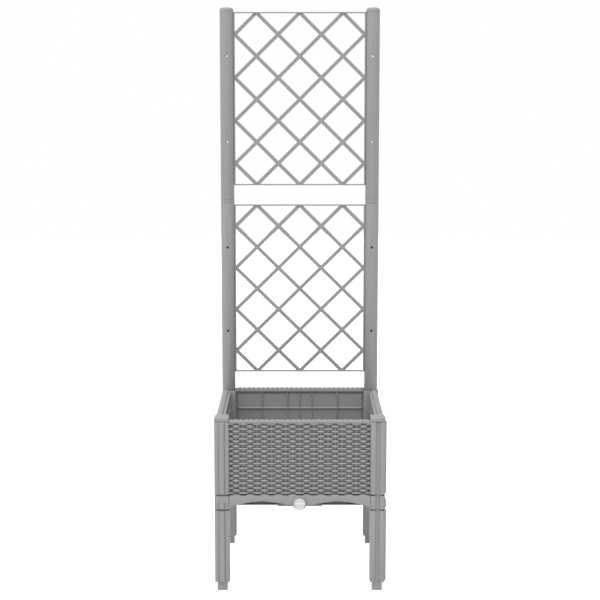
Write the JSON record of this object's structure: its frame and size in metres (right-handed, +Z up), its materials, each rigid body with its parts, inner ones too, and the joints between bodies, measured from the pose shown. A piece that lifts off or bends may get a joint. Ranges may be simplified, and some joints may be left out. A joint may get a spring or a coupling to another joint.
{
  "type": "planter with trellis",
  "caption": "Square raised planter with basket-weave walls on legs, a base tray with a screw drain plug, and a lattice trellis on two tubes standing on its back posts.",
  "frame": {"origin": "middle of the outer box's foot, on the floor", "axes": "+Z up, the front with the drain plug faces -Y, the trellis stands along the back"},
  "size_m": [0.4176, 0.432, 1.425],
  "materials": {
    "grey_plastic": "fine-grained matte moulded polypropylene",
    "white_plastic": "smooth moulded plastic",
    "seal_rubber": "matte"
  },
  "bodies": {
    "planter": {"base_tray": "grey_plastic", "floor_plate": "grey_plastic", "skirt_front": "grey_plastic", "skirt_right": "grey_plastic", "skirt_back": "grey_plastic", "skirt_left": "grey_plastic", "leg_front_left": "grey_plastic", "leg_front_right": "grey_plastic", "leg_back_right": "grey_plastic", "leg_back_left": "grey_plastic", "corner_socket_front_left": "grey_plastic", "corner_socket_front_right": "grey_plastic", "corner_socket_back_right": "grey_plastic", "corner_socket_back_left": "grey_plastic", "corner_post_front_left": "grey_plastic", "corner_post_front_right": "grey_plastic", "corner_post_back_right": "grey_plastic", "corner_post_back_left": "grey_plastic", "wall_panel_front": "grey_plastic", "wall_panel_right": "grey_plastic", "wall_panel_back": "grey_plastic", "wall_panel_left": "grey_plastic", "post_cap_front_left": "grey_plastic", "tube_adapter_left": "grey_plastic", "trellis_tube_lower_left": "grey_plastic", "tube_coupler_left": "grey_plastic", "trellis_tube_upper_left": "grey_plastic", "tube_cap_left": "grey_plastic", "post_cap_front_right": "grey_plastic", "tube_adapter_right": "grey_plastic", "trellis_tube_lower_right": "grey_plastic", "tube_coupler_right": "grey_plastic", "trellis_tube_upper_right": "grey_plastic", "tube_cap_right": "grey_plastic", "trellis_panel_upper": "grey_plastic", "trellis_panel_lower": "grey_plastic"},
    "plug_seal": {"drain_seal": "seal_rubber"},
    "plug_knob": {"drain_plug": "white_plastic"}
  },
  "joints": [
    {"name": "drain_plug_travel", "type": "slide", "parent": "planter", "child": "plug_seal", "axis": [0, -1, 0], "range_m": [0, 0.0121]},
    {"name": "drain_plug_turn", "type": "hinge", "parent": "plug_seal", "child": "plug_knob", "pos_m": [-0.00162, -0.2104, 0.222], "axis": [0, -1, 0], "range_deg": [0, 1440]}
  ],
  "couplings": [
    {"joint": "drain_plug_travel", "follows": "drain_plug_turn", "m_per_rad": 0.00047746}
  ]
}
